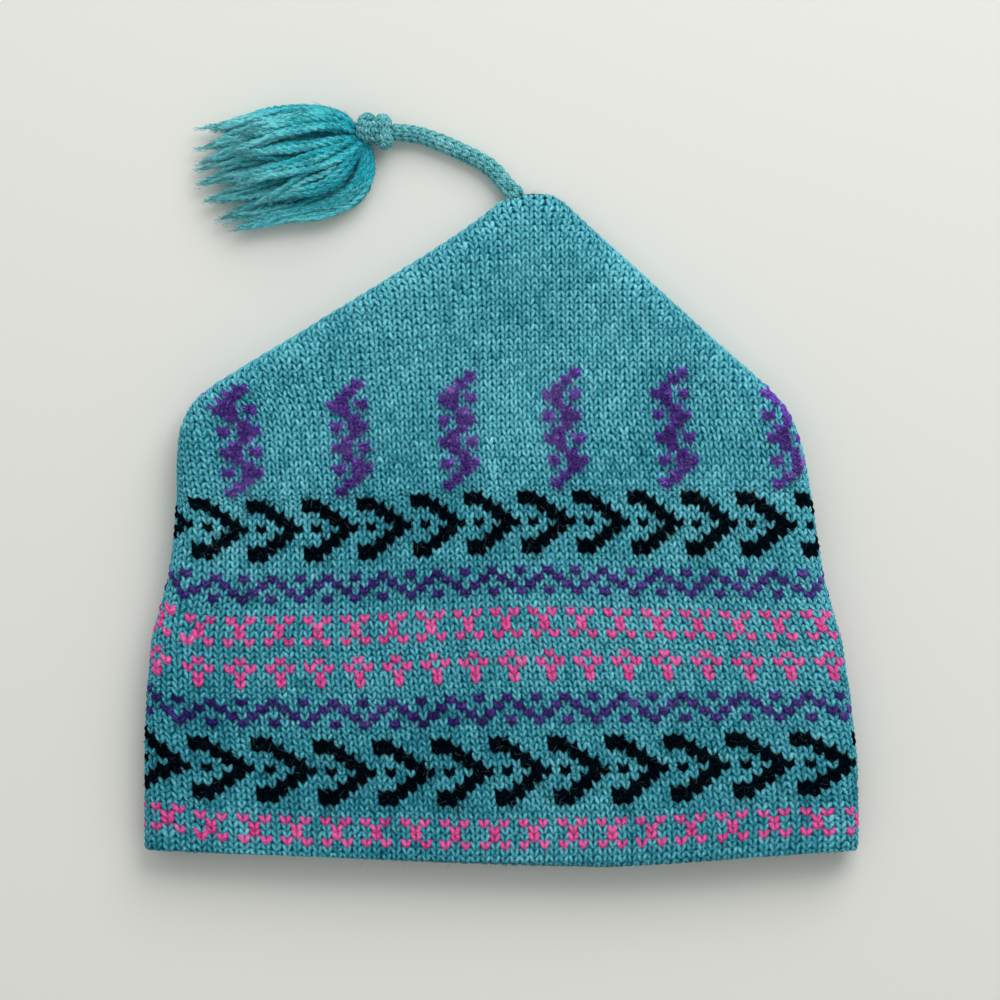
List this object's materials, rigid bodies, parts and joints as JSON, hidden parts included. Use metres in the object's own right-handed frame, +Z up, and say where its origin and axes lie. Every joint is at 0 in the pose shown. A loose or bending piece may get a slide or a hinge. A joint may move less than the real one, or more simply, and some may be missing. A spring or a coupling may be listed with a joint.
{
  "type": "knitted ski hat",
  "caption": "Stranded knit ski hat lying flat: an open-mouthed tube that narrows to a slanted point, with a knitted cord, a knot and a yarn tassel.",
  "frame": {"origin": "centre of the bottom of the hat's body as it lies flat, on the surface it lies on, without the cord and tassel", "axes": "+Z up from the surface, +Y from the hem's open mouth towards the point, +X towards the right fold of the body"},
  "size_m": [0.2601, 0.279, 0.021],
  "materials": {
    "teal_yarn": "heathered wool yarn, knitted",
    "tassel_yarn": "soft two-ply wool yarn, cut and brushed",
    "black_yarn": "brushed wool yarn with stray fibres",
    "purple_yarn": "thick felted wool yarn",
    "pink_yarn": "smooth bright yarn"
  },
  "bodies": {
    "root": {"knit_body": "teal_yarn", "tassel_cord": "teal_yarn", "cord_knot": "teal_yarn", "tassel": "tassel_yarn"}
  },
  "joints": []
}
